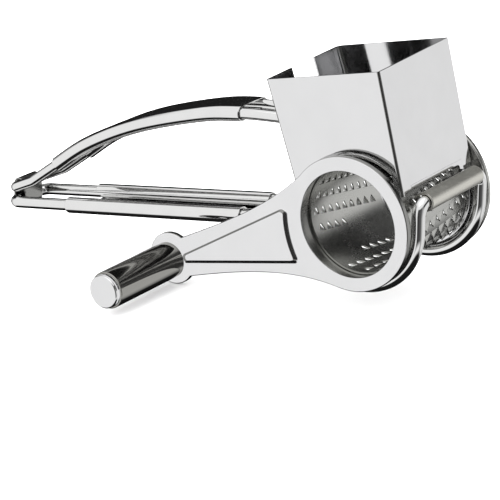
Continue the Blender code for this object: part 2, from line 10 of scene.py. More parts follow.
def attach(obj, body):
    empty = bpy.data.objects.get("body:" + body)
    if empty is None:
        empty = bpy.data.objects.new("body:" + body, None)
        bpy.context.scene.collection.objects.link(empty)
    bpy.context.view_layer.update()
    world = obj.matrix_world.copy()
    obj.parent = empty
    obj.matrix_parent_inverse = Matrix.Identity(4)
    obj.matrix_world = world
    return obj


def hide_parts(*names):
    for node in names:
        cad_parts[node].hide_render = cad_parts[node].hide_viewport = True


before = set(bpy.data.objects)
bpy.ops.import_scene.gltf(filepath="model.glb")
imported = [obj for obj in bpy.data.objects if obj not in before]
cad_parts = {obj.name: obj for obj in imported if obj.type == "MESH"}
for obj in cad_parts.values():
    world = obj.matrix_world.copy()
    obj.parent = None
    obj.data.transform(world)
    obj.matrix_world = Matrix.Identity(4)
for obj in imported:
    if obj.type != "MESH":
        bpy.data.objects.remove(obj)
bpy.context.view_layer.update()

MM = 0.001

# The grater is laid out in its own frame: the drum turns about Y, the handles run to -X, the hopper
# stands up along Z. LAYOUT sets that frame down on the surface, as the CAD part does.
LEAN = math.radians(9.83)
DRUM_AXIS_FROM_ORIGIN = (81.03 * MM, -7.85 * MM, 38.877 * MM)
LAYOUT = Matrix.Translation(DRUM_AXIS_FROM_ORIGIN) @ Matrix.Rotation(-LEAN, 4, "Y")

# --- Dimensions in millimetres, the same as the CAD part's -------------------------------------
MIDDLE = 30.75
HOPPER_FRONT, HOPPER_REAR = 5.9, 56.9
RIM_SLOPE = 0.033
HOPPER_TOP, HOPPER_BOTTOM = 56.1, 8.7
HOPPER_TOP_X, HOPPER_BOTTOM_X = (-29.8, 21.9), (-24.4, 23.2)
SHEET = 0.8
ARCH_RADIUS, ARCH_HALF_WIDTH, ARCH_FOOT_RADIUS = 26.7, 20.0, 23.7
PRESS_SLOT_WIDTH, PRESS_SLOT_FOOT = 15.6, 26.0
KNUCKLE_AXIS, KNUCKLE_ENDS, KNUCKLE_GAP = (28.0, 4.9), (12.3, 49.8), 0.3
WALL_SLOT_ENDS, WALL_SLOT_HEIGHTS = (8.2, 47.4), (6.8, 10.0)
CRADLE_RADIUS, CRADLE_HALF_WIDTH = 26.3, 22.95
LOWER_ROD, UPPER_ROD = 2.6, 2.3
LOWER_HALF_SPACING = 10.45
LOWER_HINGE_BAR, UPPER_HINGE_BAR = (-190.5, 6.35), (-189.0, 12.4)
LOWER_LEG_SLOPE = -0.0608
CORNER_RADIUS = 4.5
LOWER_GRIP_ENDS, UPPER_GRIP_ENDS = (-157.0, -64.2), (-159.0, -57.5)
GRIP_SHEET, GRIP_GAP, GRIP_WRAP = 0.6, 0.3, 250
PRESS_RADIUS, PRESS_THICKNESS, PRESS_HALF_ANGLE, PRESS_HALF_LENGTH = 24.3, 1.0, 55.0, 22.5
HEAD_RADIUS, WINDOW_RADIUS = 26.5, 20.9
KNOB_AXIS, BOSS_RADIUS = (-88.4, -13.2), 10.8
PLATE_THICKNESS, SKIRT_DEPTH = 1.0, 2.0
PRESSED_HEIGHT, PRESSED_ARC_CENTRE, PRESSED_ARC_RADIUS = 1.2, (10.1, -2.0), 37.0
COLLAR_RADIUS, COLLAR_BORE = 23.3, 21.9
FRONT_COLLAR, REAR_COLLAR = (1.3, 9.4), (51.6, 57.1)
FLANGE_RADIUS, FLANGE_FRONT, FLANGE_THICKNESS, FLANGE_DEPTH = 28.2, 57.4, 0.8, 2.1
TUBE_FRONT, TUBE_REAR, TUBE_RADIUS, TUBE_WALL = 7.0, 54.8, 21.6, 0.7
TOOTH_ROWS, TEETH_PER_ROW = 20, 9
TOOTH_PITCH, FIRST_TOOTH, TOOTH_HALF_WIDTH = 4.75, 11.4, 1.85
FIRST_ROW, FIRST_ROW_Y, ROW_SLANT = 172.0, 20.0, 0.43
STAGGER = 0.14
SEAM = (198.5, 231.5)
KNOB_RADIUS, KNOB_BORE, KNOB_END = 7.5, 6.6, -43.8
BUSH_RADIUS, BUSH_BORE, CAP_RADIUS, AXLE_RADIUS = 6.3, 2.1, 6.8, 2.0
WASHER_RADIUS, WASHER_BORE = 5.2, 2.4
SLEEVE_ENDS, WASHER_ENDS = (-41.2, -1.6), (-1.2, -0.4)
INNER_BUSH_ENDS, OUTER_BUSH_ENDS = (-7.5, -1.8), (-39.0, -33.0)

# --- Details that only the visual model has, in millimetres ------------------------------------
FOLD_RADIUS, REAR_FOLD_RADIUS = 1.3, 2.3
ROD_SIDES, ROD_END_EASE, LONGEST_ROD_STEP = 28, 0.35, 6.0
PLATE_EDGE_EASE, SKIRT_INNER_EASE, WINDOW_EASE = 0.55, 0.3, 0.3
TONGUE_LIFT, TONGUE_THICKNESS, TONGUE_DOME = 1.15, 0.35, 0.35
# A tooth from its tip to its base: (share of its length, share of its half width).
TOOTH_OUTLINE = ((0.0, 0.10), (0.25, 0.42), (0.5, 0.68), (0.75, 0.9), (1.0, 1.0))


# --- Materials ---------------------------------------------------------------------------------
def add_node(tree, kind, **inputs):
    """A new shader node with some inputs set. An underscore in an input's name stands for a space."""
    made = tree.nodes.new("ShaderNode" + kind)
    for label, value in inputs.items():
        made.inputs[label.replace("_", " ")].default_value = value
    return made


def new_material(name):
    """A new node material, its node tree and its Principled shader."""
    made = bpy.data.materials.new(name)
    made.use_nodes = True
    return made, made.node_tree, made.node_tree.nodes["Principled BSDF"]


def steel(name, color, roughness, streak=(1, 1, 1), grain=0.05, smudge=0.05, bump=0.03):
    """Polished or satin stainless steel: fine polishing grain, faint smudges, tiny waviness.

    A streak below 1 draws the grain out along that axis. Grain and smudge add to the roughness.
    """
    made, tree, shader = new_material(name)
    link = tree.links.new
    shader.inputs["Metallic"].default_value = 1.0
    place = add_node(tree, "TexCoord")
    stretch = add_node(tree, "Mapping", Scale=streak)
    link(place.outputs["Object"], stretch.inputs["Vector"])
    fine = add_node(tree, "TexNoise", Scale=2600.0, Detail=3.0)
    link(stretch.outputs["Vector"], fine.inputs["Vector"])
    wide = add_node(tree, "TexNoise", Scale=90.0, Detail=4.0, Roughness=0.6)
    link(place.outputs["Object"], wide.inputs["Vector"])

    grain_share = add_node(tree, "MapRange", To_Min=roughness - grain, To_Max=roughness + grain)
    link(fine.outputs["Fac"], grain_share.inputs["Value"])
    smudge_share = add_node(tree, "MapRange", From_Min=0.45, From_Max=0.75, To_Min=0.0, To_Max=smudge)
    link(wide.outputs["Fac"], smudge_share.inputs["Value"])
    total = add_node(tree, "Math")
    total.operation = "ADD"
    total.use_clamp = True
    link(grain_share.outputs["Result"], total.inputs[0])
    link(smudge_share.outputs["Result"], total.inputs[1])
    link(total.outputs["Value"], shader.inputs["Roughness"])

    tint = add_node(tree, "ValToRGB")
    for element, position, share in zip(tint.color_ramp.elements, (0.3, 0.7), (0.97, 1.0)):
        element.position = position
        element.color = (*(c * share for c in color), 1)
    link(wide.outputs["Fac"], tint.inputs["Fac"])
    link(tint.outputs["Color"], shader.inputs["Base Color"])

    waves = add_node(tree, "Bump", Strength=bump, Distance=0.0002)
    link(fine.outputs["Fac"], waves.inputs["Height"])
    link(waves.outputs["Normal"], shader.inputs["Normal"])
    return made


def white_nylon():
    """Slightly waxy white nylon with a fine moulded texture."""
    made, tree, shader = new_material("white_nylon")
    link = tree.links.new
    shader.inputs["Subsurface Weight"].default_value = 0.15
    shader.inputs["Subsurface Radius"].default_value = (0.002, 0.002, 0.0015)
    shader.inputs["Subsurface Scale"].default_value = 0.5
    place = add_node(tree, "TexCoord")
    noise = add_node(tree, "TexNoise", Scale=900.0)
    link(place.outputs["Object"], noise.inputs["Vector"])
    tint = add_node(tree, "ValToRGB")
    tint.color_ramp.elements[0].color = (0.74, 0.74, 0.70, 1)
    tint.color_ramp.elements[1].color = (0.86, 0.86, 0.83, 1)
    link(noise.outputs["Fac"], tint.inputs["Fac"])
    link(tint.outputs["Color"], shader.inputs["Base Color"])
    rough = add_node(tree, "MapRange", To_Min=0.4, To_Max=0.55)
    link(noise.outputs["Fac"], rough.inputs["Value"])
    link(rough.outputs["Result"], shader.inputs["Roughness"])
    return made


# --- Mesh helpers ------------------------------------------------------------------------------
def spread(start, end, steps):
    """Evenly spaced numbers from start to end, both included."""
    return [start + (end - start) * i / steps for i in range(steps + 1)]


def arc(centre, radius, start, end, steps):
    """Points on an arc about a centre, angles in degrees, both ends included."""
    angles = [math.radians(a) for a in spread(start, end, steps)]
    return [(centre[0] + radius * math.cos(a), centre[1] + radius * math.sin(a)) for a in angles]


def circle(centre, radius, steps):
    """Points round a full circle, the first not repeated."""
    return arc(centre, radius, 0, 360, steps)[:-1]


def quarter_round(radius, steps):
    """(inwards, back) distances round an eased edge, from its side to its face."""
    angles = [math.pi / 2 * k / steps for k in range(steps + 1)]
    return [(radius * (1 - math.cos(a)), radius * (1 - math.sin(a))) for a in angles]


def rounded_path(corners, closed, steps=8):
    """Points along (point, radius) corners, in 2D or 3D, with each turned into an arc of its radius."""
    path = []
    count = len(corners)
    for i, (point, radius) in enumerate(corners):
        here = Vector(point)
        if radius == 0 or (not closed and i in (0, count - 1)):
            path.append(here)
            continue
        to_before = (Vector(corners[i - 1][0]) - here).normalized()
        to_after = (Vector(corners[(i + 1) % count][0]) - here).normalized()
        half = to_before.angle(to_after) / 2
        start = here + to_before * radius / math.tan(half)
        centre = here + (to_before + to_after).normalized() * radius / math.sin(half)
        end = here + to_after * radius / math.tan(half)
        sweep = math.pi - 2 * half
        for k in range(steps + 1):
            a = sweep * k / steps
            one, two = math.sin(sweep - a) / math.sin(sweep), math.sin(a) / math.sin(sweep)
            path.append(centre + (start - centre) * one + (end - centre) * two)
    return path


def rounded(outline, steps=3):
    """A closed outline of (point, radius) corners as plain points."""
    return [tuple(p) for p in rounded_path(outline, True, steps)]


def cubic(start, pull_start, pull_end, end, steps):
    """Points along a cubic Bezier curve, both ends included."""
    points = []
    for i in range(steps + 1):
        t = i / steps
        weights = ((1 - t) ** 3, 3 * t * (1 - t) ** 2, 3 * t * t * (1 - t), t ** 3)
        corners = (start, pull_start, pull_end, end)
        points.append(tuple(sum(w * p[k] for w, p in zip(weights, corners)) for k in range(2)))
    return points


def smooth_line(points, per_span):
    """Points on a Catmull-Rom curve through the given points."""
    points = [Vector(p) for p in points]
    padded = [2 * points[0] - points[1], *points, 2 * points[-1] - points[-2]]
    line = []
    for a, b, c, d in zip(padded, padded[1:], padded[2:], padded[3:]):
        for i in range(per_span):
            t = i / per_span
            line.append(0.5 * (2 * b + (c - a) * t + (2 * a - 5 * b + 4 * c - d) * t * t
                               + (3 * b - a - 3 * c + d) * t ** 3))
    return [*line, points[-1]]


def inset(outline, distance):
    """A closed counterclockwise outline moved inwards, corner by corner."""
    moved = []
    count = len(outline)
    for i, point in enumerate(outline):
        before, after = Vector(outline[i - 1]), Vector(outline[(i + 1) % count])
        here = Vector(point)
        first, second = (here - before).normalized(), (after - here).normalized()
        one, two = Vector((-first.y, first.x)), Vector((-second.y, second.x))
        bisector = (one + two).normalized()
        moved.append(tuple(here + bisector * distance / max(0.35, bisector.dot(one))))
    return moved


def offset_line(line, distance):
    """An open line of (x, z) points moved sideways."""
    moved = []
    for i, point in enumerate(line):
        before, after = Vector(line[max(i - 1, 0)]), Vector(line[min(i + 1, len(line) - 1)])
        along = (after - before).normalized()
        moved.append(tuple(Vector(point) + Vector((-along.y, along.x)) * distance))
    return moved


def along_y(outline, stations):
    """Loops of one outline of (x, z) points, at stations along Y."""
    return [[(x, y, z) for x, z in outline] for y in stations]


def along_x(outline, stations):
    """Loops of one outline of (y, z) points, at stations along X."""
    return [[(x, y, z) for y, z in outline] for x in stations]


def flat_ring(bm, outline, y):
    """Vertices of an outline of (x, z) points at one y."""
    return [bm.verts.new((x, y, z)) for x, z in outline]


def bridge(bm, one, two, slot=0):
    """Quads between two loops of the same length, with a material slot."""
    count = len(one)
    for i in range(count):
        j = (i + 1) % count
        bm.faces.new((one[i], one[j], two[j], two[i])).material_index = slot


def loft(loops, closed=False):
    """A new bmesh with a skin through loops of equally many points, with caps unless it is closed."""
    bm = bmesh.new()
    rings = [[bm.verts.new(p) for p in loop] for loop in loops]
    pairs = list(zip(rings, rings[1:]))
    if closed:
        pairs.append((rings[-1], rings[0]))
    for one, two in pairs:
        bridge(bm, one, two)
    if not closed:
        bm.faces.new(rings[0])
        bm.faces.new(list(reversed(rings[-1])))
    return bm


def turned(profile, centre, steps, closed=True):
    """A new bmesh of (radius, y) points turned about Y. An open profile starts and ends on the axis."""
    bm = bmesh.new()
    rings = []
    for radius, y in profile:
        if radius == 0:
            rings.append([bm.verts.new((centre[0], y, centre[1]))])
        else:
            rings.append(flat_ring(bm, circle(centre, radius, steps), y))
    pairs = list(zip(rings, rings[1:]))
    if closed:
        pairs.append((rings[-1], rings[0]))
    for one, two in pairs:
        for i in range(steps):
            j = (i + 1) % steps
            corners = [one[i % len(one)], one[j % len(one)], two[j % len(two)], two[i % len(two)]]
            bm.faces.new(list(dict.fromkeys(corners)))
    return bm


def inside(point, loop):
    """Whether an (x, z) point lies inside a loop of vertices."""
    hit = False
    for i in range(len(loop)):
        a, b = loop[i - 1].co, loop[i].co
        if (a.z > point.y) != (b.z > point.y):
            if point.x < (b.x - a.x) * (point.y - a.z) / (b.z - a.z) + a.x:
                hit = not hit
    return hit


def fill_flat(bm, outer, holes, y):
    """A flat face at one y between an outer loop and hole loops of existing vertices."""
    points, owners, edges = [], [], []
    for loop in (outer, *holes):
        base = len(points)
        for v in loop:
            points.append(Vector((v.co.x, v.co.z)))
            owners.append(v)
        edges += [(base + i, base + (i + 1) % len(loop)) for i in range(len(loop))]
    coords, _, faces, origins, _, _ = delaunay_2d_cdt(points, edges, [], 1, 1e-7)
    sources = [owners[origin[0]] if origin else None for origin in origins]
    verts = [v if v else bm.verts.new((c.x, y, c.y)) for v, c in zip(sources, coords)]
    for face in faces:
        centre = sum((coords[i] for i in face), Vector((0, 0))) / len(face)
        if inside(centre, outer) and not any(inside(centre, hole) for hole in holes):
            bm.faces.new([verts[i] for i in face])


# --- Pieces from meshes ------------------------------------------------------------------------
def set_down(bm):
    """Turn a bmesh from layout millimetres into metres where the part stands, faces pointing out."""
    bmesh.ops.recalc_face_normals(bm, faces=bm.faces)
    bmesh.ops.scale(bm, vec=(MM, MM, MM), verts=bm.verts)
    bmesh.ops.transform(bm, matrix=LAYOUT, verts=bm.verts)


def scene_object(name, bm):
    """A new object in the scene that takes over a bmesh."""
    mesh = bpy.data.meshes.new(name)
    bm.to_mesh(mesh)
    bm.free()
    made = bpy.data.objects.new(name, mesh)
    bpy.context.scene.collection.objects.link(made)
    return made


def weigh_normals(target):
    """Let the large faces decide the shading next to their edges."""
    normals = target.modifiers.new("Normals", "WEIGHTED_NORMAL")
    normals.keep_sharp = True
    normals.weight = 60


def piece(name, bm, looks, body, node, angle=35, weighted=True):
    """A finished piece from a bmesh in layout millimetres, riding on a body in place of a CAD node."""
    bmesh.ops.remove_doubles(bm, verts=bm.verts, dist=0.0005)
    set_down(bm)
    made = scene_object(name, bm)
    made.data.shade_smooth()
    made.data.set_sharp_from_angle(angle=math.radians(angle))
    for look in looks:
        made.data.materials.append(look)
    if weighted:
        weigh_normals(made)
    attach(made, body)
    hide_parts(node)
    return made


def cutter(name, bm, target, operation="DIFFERENCE"):
    """Apply a Boolean with a throwaway tool made from a bmesh in layout millimetres."""
    set_down(bm)
    tool = scene_object(name, bm)
    step = target.modifiers.new("Cut", "BOOLEAN")
    step.operation = operation
    step.solver = "EXACT"
    step.object = tool
    bpy.context.view_layer.update()
    graph = bpy.context.evaluated_depsgraph_get()
    done = bpy.data.meshes.new_from_object(target.evaluated_get(graph))
    target.modifiers.remove(step)
    target.data = done
    bpy.data.objects.remove(tool, do_unlink=True)


def finish_edges(target, width=0.15, angle=50):
    """Break a sheet's edges with a small bevel."""
    bevel = target.modifiers.new("Edges", "BEVEL")
    bevel.width = width * MM
    bevel.segments = 2
    bevel.limit_method = "ANGLE"
    bevel.angle_limit = math.radians(angle)
    bevel.harden_normals = False
    bevel.miter_outer = "MITER_ARC"
    weigh_normals(target)


def make_ring(name, bore, radius, ends, look, body, node, centre=(0, 0), ease=0.3, steps=120):
    """A turned ring with eased edges."""
    low, high = ends
    corners = ((bore, low), (radius, low), (radius, high), (bore, high))
    profile = rounded([(corner, ease) for corner in corners])
    return piece(name, turned(profile, centre, steps), [look], body, node)


# --- Hopper ------------------------------------------------------------------------------------
def wall_x(side, z):
    """Outer face of the left (0) or right (1) wall at a height."""
    share = (z - HOPPER_BOTTOM) / (HOPPER_TOP - HOPPER_BOTTOM)
    return HOPPER_BOTTOM_X[side] + share * (HOPPER_TOP_X[side] - HOPPER_BOTTOM_X[side])


def footprint(z, offset):
    """Points round the folded sheet at a height, moved in by an offset from the outer face.

    They run from the press slot's front edge round the front, right and rear walls to its rear
    edge. The sheet is closed between the two, and the slot is cut later.
    """
    left, right = wall_x(0, z), wall_x(1, z)
    front, rear = HOPPER_FRONT, HOPPER_REAR
    half = PRESS_SLOT_WIDTH / 2
    fold, wide = FOLD_RADIUS, REAR_FOLD_RADIUS
    points = []

    def line(start, end, steps):
        for i in range(1, steps):
            t = i / steps
            points.append((start[0] + (end[0] - start[0]) * t, start[1] + (end[1] - start[1]) * t))

    def bend(x, y, radius, start):
        points.extend(arc((x, y), radius - offset, start, start + 90, 8))

    points.append((left + offset, MIDDLE - half))
    line((left + offset, MIDDLE - half), (left + offset, front + fold), 6)
    bend(left + fold, front + fold, fold, 180)
    line((left + fold, front + offset), (right - fold, front + offset), 24)
    bend(right - fold, front + fold, fold, 270)
    line((right - offset, front + fold), (right - offset, rear - fold), 16)
    bend(right - fold, rear - fold, fold, 0)
    line((right - fold, rear - offset), (left + wide, rear - offset), 24)
    bend(left + wide, rear - wide, wide, 90)
    line((left + offset, rear - wide), (left + offset, MIDDLE + half), 6)
    points.append((left + offset, MIDDLE + half))
    return points


def folded_sheet():
    """The four walls as an outer and an inner skin, joined along the rim and the foot."""
    bm = bmesh.new()
    rows = 14
    tops = [HOPPER_TOP + RIM_SLOPE * (y - HOPPER_FRONT) for x, y in footprint(HOPPER_BOTTOM, 0.0)]
    skins = []
    for offset in (0.0, SHEET):
        skin = []
        for i, top in enumerate(tops):
            column = []
            for z in spread(HOPPER_BOTTOM, top, rows):
                x, y = footprint(z, offset)[i]
                column.append(bm.verts.new((x, y, z)))
            skin.append(column)
        skins.append(skin)
    for skin in skins:
        for one, two in zip(skin, skin[1:] + skin[:1]):
            for k in range(rows):
                bm.faces.new((one[k], two[k], two[k + 1], one[k + 1]))
    outer, inner = skins
    for k in (0, rows):
        bridge(bm, [column[k] for column in outer], [column[k] for column in inner])
    return bm


def knuckle_outline():
    """Section of the tongue that leaves the right wall and rolls round the hinge bar."""
    root = wall_x(1, HOPPER_BOTTOM) - SHEET / 2
    radius = LOWER_ROD + KNUCKLE_GAP + SHEET / 2
    line = [(root, 11.5), (root, 9.6), (root, 8.2), (root + 0.08, 7.5), (root + 0.3, 6.9),
            *arc(KNUCKLE_AXIS, radius, 112, -135, 34)]
    return offset_line(line, SHEET / 2) + offset_line(line, -SHEET / 2)[::-1]


def arch_outline():
    """The doorway over the drum: an arch on two curved feet, with its corners eased."""
    def bow(radius, start, end, steps):
        return [(p, 0) for p in arc((0, 0), radius, start, end, steps)]

    foot, crown = [math.degrees(math.acos(ARCH_HALF_WIDTH / r)) for r in (ARCH_FOOT_RADIUS, ARCH_RADIUS)]
    top = bow(ARCH_RADIUS, crown, 180 - crown, 60)
    top[0], top[-1] = (top[0][0], 0.6), (top[-1][0], 0.6)
    right, left = bow(ARCH_FOOT_RADIUS, 0, foot, 20), bow(ARCH_FOOT_RADIUS, 180 - foot, 180, 20)
    return rounded(right + top + left, 5)


def press_slot_outline():
    """The slot in the left wall, open at the rim, as (y, z) points."""
    half, foot, past_rim = PRESS_SLOT_WIDTH / 2, PRESS_SLOT_FOOT, HOPPER_TOP + 8
    return rounded([((MIDDLE - half, foot), 1.5), ((MIDDLE + half, foot), 1.5),
                    ((MIDDLE + half, past_rim), 0), ((MIDDLE - half, past_rim), 0)], 5)


def wall_slot_outline():
    """The oblong slot at the foot of the right wall, as (y, z) points."""
    low, high = WALL_SLOT_HEIGHTS
    radius, height = (high - low) / 2, (low + high) / 2
    return [*arc((WALL_SLOT_ENDS[1] - radius, height), radius, -90, 90, 14),
            *arc((WALL_SLOT_ENDS[0] + radius, height), radius, 90, 270, 14)]


def hopper_slot(place, normal):
    """Material slot of a hopper face from its place and normal: 1 on the knuckle, 2 on a fold for painted
    shade, else 0.
    """
    knuckle_reach = LOWER_ROD + KNUCKLE_GAP + SHEET + 0.1
    if math.hypot(place.x - KNUCKLE_AXIS[0], place.z - KNUCKLE_AXIS[1]) < knuckle_reach:
        return 1
    if abs(normal.x) > 0.25 and abs(normal.y) > 0.35 and abs(normal.z) < 0.35:
        return 2
    return 0


def make_hopper(look, knuckle_look, fold_shade_look):
    """Hopper with its folds, arches, slots and knuckle."""
    hopper = piece("hopper_sheet", folded_sheet(), [look], "frame", "hopper_shell", weighted=False)
    cutter("knuckle_tool", loft(along_y(knuckle_outline(), spread(*KNUCKLE_ENDS, 12))), hopper, "UNION")
    past_front, past_rear = HOPPER_FRONT - 5, HOPPER_REAR + 5
    cutter("arch_tool", loft(along_y(arch_outline(), (past_front, past_rear))), hopper)
    past_left, in_hopper = HOPPER_TOP_X[0] - 5, -20
    cutter("press_slot_tool", loft(along_x(press_slot_outline(), (past_left, in_hopper))), hopper)
    wall = HOPPER_BOTTOM_X[1]
    cutter("slot_tool", loft(along_x(wall_slot_outline(), (wall - 3, wall + 0.6))), hopper)
    hopper.data.materials.clear()
    for finish in (look, knuckle_look, fold_shade_look):
        hopper.data.materials.append(finish)
    # Faces on the folds take the dark steel as painted shade.
    back = LAYOUT.inverted()
    for face in hopper.data.polygons:
        face.material_index = hopper_slot(back @ face.center / MM, back.to_3x3() @ face.normal)
    hopper.data.set_sharp_from_angle(angle=math.radians(35))
    finish_edges(hopper)


# --- Frames and grips --------------------------------------------------------------------------
def densify(path, closed):
    """Split a path's long straight runs."""
    out = []
    count = len(path)
    for i, point in enumerate(path):
        out.append(point)
        if not closed and i == count - 1:
            break
        after = path[(i + 1) % count]
        pieces = int((after - point).length // LONGEST_ROD_STEP)
        out += [point.lerp(after, k / (pieces + 1)) for k in range(1, pieces + 1)]
    return out


def rod(corners, radius, closed):
    """A round rod along a path of rounded corners. Open ends get a small rounded edge."""
    path = densify(rounded_path(corners, closed), closed)
    count = len(path)
    tangents = []
    for i in range(count):
        before = path[i - 1] if closed or i else path[0]
        after = path[(i + 1) % count] if closed or i < count - 1 else path[-1]
        tangents.append((after - before).normalized())
    normals = [tangents[0].orthogonal().normalized()]
    for one, two in zip(tangents, tangents[1:]):
        normals.append((one.rotation_difference(two) @ normals[-1]).normalized())
    twist = 0.0
    if closed:
        last = tangents[-1].rotation_difference(tangents[0]) @ normals[-1]
        twist = last.angle(normals[0])
        if last.cross(normals[0]).dot(tangents[0]) < 0:
            twist = -twist
    stations = [(p, t, n, radius, i) for i, (p, t, n) in enumerate(zip(path, tangents, normals))]
    if not closed:
        ease = ROD_END_EASE
        (start, first, first_side, *_), (stop, final, final_side, *_) = stations[0], stations[-1]
        stations = [(start, first, first_side, radius - ease, 0),
                    (start + first * ease, first, first_side, radius, 0),
                    *stations[1:-1],
                    (stop - final * ease, final, final_side, radius, count),
                    (stop, final, final_side, radius - ease, count)]
    loops = []
    for point, along, side, size, i in stations:
        other = along.cross(side)
        turn = twist * i / count
        angles = [turn + 2 * math.pi * k / ROD_SIDES for k in range(ROD_SIDES)]
        loops.append([point + size * (math.cos(a) * side + math.sin(a) * other) for a in angles])
    return loft(loops, closed)


def lower_leg_z(x):
    """Height of the lower frame's straight legs."""
    return LOWER_HINGE_BAR[1] + LOWER_LEG_SLOPE * (x - LOWER_HINGE_BAR[0])


def lower_side(side):
    """Corners of the lower frame on one side (-1 front, 1 rear), from handle to knuckle."""
    narrow = MIDDLE + side * LOWER_HALF_SPACING
    wide = MIDDLE + side * CRADLE_HALF_WIDTH
    bend, joint, turn = -57, -37, -27.6
    return [((LOWER_HINGE_BAR[0], narrow, LOWER_HINGE_BAR[1]), CORNER_RADIUS),
            ((bend, narrow, lower_leg_z(bend)), 10),
            ((joint, wide, lower_leg_z(joint)), 8),
            ((turn, wide, lower_leg_z(turn)), 4.5),
            *[((x, wide, z), 0) for x, z in arc((0, 0), CRADLE_RADIUS, 201, 348, 42)],
            ((KNUCKLE_AXIS[0], wide, KNUCKLE_AXIS[1]), CORNER_RADIUS)]


def make_lower_rod(look):
    """The lower frame's closed rod."""
    bm = rod(lower_side(-1) + lower_side(1)[::-1], LOWER_ROD, closed=True)
    piece("lower_rod", bm, [look], "frame", "lower_frame_rod")


def upper_line():
    """Middle line of the upper frame as (x, half spacing, z)."""
    return smooth_line(((-175.5, 10.45, 15.4), (-160.9, 10.4, 21.7), (-139.5, 9.7, 30.7),
                        (-111.6, 8.7, 37.3), (-78.3, 7.7, 40.3), (-58.3, 7.4, 39.6), (-42.6, 6.4, 37.4),
                        (-29.0, 5.0, 34.6), (-18.0, 5.0, 31.0), (-6.0, 5.0, 27.95), (9.0, 5.0, 27.9)), 8)


def make_upper_rod(look):
    """The upper frame's U of rod."""
    x, z = UPPER_HINGE_BAR
    line = upper_line()
    half = line[0].y
    front = [(Vector((p.x, MIDDLE - p.y, p.z)), 0) for p in line]
    rear = [(Vector((p.x, MIDDLE + p.y, p.z)), 0) for p in line]
    bar = [((x, MIDDLE - half, z), CORNER_RADIUS), ((x, MIDDLE + half, z), CORNER_RADIUS)]
    bm = rod(front[::-1] + bar + rear, UPPER_ROD, closed=False)
    piece("upper_rod", bm, [look], "press_arm", "upper_frame_rod")


def grip_section(half, rod_radius, side):
    """A grip's cross-section: a web on one side and two edges curled round the rods."""
    inner = rod_radius + GRIP_GAP
    outer = inner + GRIP_SHEET
    sweep = [math.radians(a) for a in spread(90, 90 + GRIP_WRAP, 26)]
    web = 8
    near_outer = [(-half + outer * math.cos(a), side * outer * math.sin(a)) for a in sweep]
    near_inner = [(-half + inner * math.cos(a), side * inner * math.sin(a)) for a in sweep]
    far_outer = [(-s, n) for s, n in near_outer]
    far_inner = [(-s, n) for s, n in near_inner]
    span = [half * (2 * k / web - 1) for k in range(1, web)]
    outer_web = [(s, side * outer) for s in span]
    inner_web = [(-s, side * inner) for s in span]
    return near_outer[::-1] + outer_web + far_outer + far_inner[::-1] + inner_web + near_inner


def make_grip(name, line, rod_radius, side, look, body, node):
    """A sheet grip along a middle line of (x, half spacing, z), its web above (1) or below (-1)."""
    loops = []
    for i, point in enumerate(line):
        before, after = line[max(i - 1, 0)], line[min(i + 1, len(line) - 1)]
        along = Vector((after.x - before.x, 0, after.z - before.z)).normalized()
        away = Vector((-along.z, 0, along.x))
        centre = Vector((point.x, MIDDLE, point.z))
        section = grip_section(point.y, rod_radius, side)
        loops.append([centre + Vector((0, s, 0)) + away * n for s, n in section])
    made = piece(name, loft(loops), [look], body, node, weighted=False)
    finish_edges(made, width=0.12, angle=60)


def lower_grip_line():
    """The lower grip's straight middle line."""
    return [Vector((x, LOWER_HALF_SPACING, lower_leg_z(x))) for x in spread(*LOWER_GRIP_ENDS, 16)]


def upper_grip_line():
    """The part of the upper frame's middle line under its grip, with exact ends."""
    line = upper_line()

    def at(x):
        for one, two in zip(line, line[1:]):
            if one.x <= x <= two.x:
                return one.lerp(two, (x - one.x) / (two.x - one.x))
        raise ValueError("x is past the line's ends")

    low, high = UPPER_GRIP_ENDS
    return [at(low), *[p for p in line if low + 0.3 < p.x < high - 0.3], at(high)]


def make_hinge_strap(look):
    """The oval strap round both hinge bars."""
    gap, thickness, ease = 0.3, 0.8, 0.2
    lean = math.degrees(math.atan2(UPPER_HINGE_BAR[1] - LOWER_HINGE_BAR[1],
                                   UPPER_HINGE_BAR[0] - LOWER_HINGE_BAR[0]))

    def oval(spare):
        return (arc(UPPER_HINGE_BAR, UPPER_ROD + gap + spare, lean - 90, lean + 90, 24)
                + arc(LOWER_HINGE_BAR, LOWER_ROD + gap + spare, lean + 90, lean + 270, 24))

    half = LOWER_HALF_SPACING - CORNER_RADIUS - 0.4
    low, high = MIDDLE - half, MIDDLE + half
    inner, soft_inner, soft_outer, outer = oval(0.0), oval(ease), oval(thickness - ease), oval(thickness)
    ring = [(soft_inner, low), (soft_outer, low), (outer, low + ease), (outer, high - ease),
            (soft_outer, high), (soft_inner, high), (inner, high - ease), (inner, low + ease)]
    loops = [[(x, y, z) for x, z in outline] for outline, y in ring]
    piece("hinge_strap", loft(loops, closed=True), [look], "frame", "hinge_sleeve")


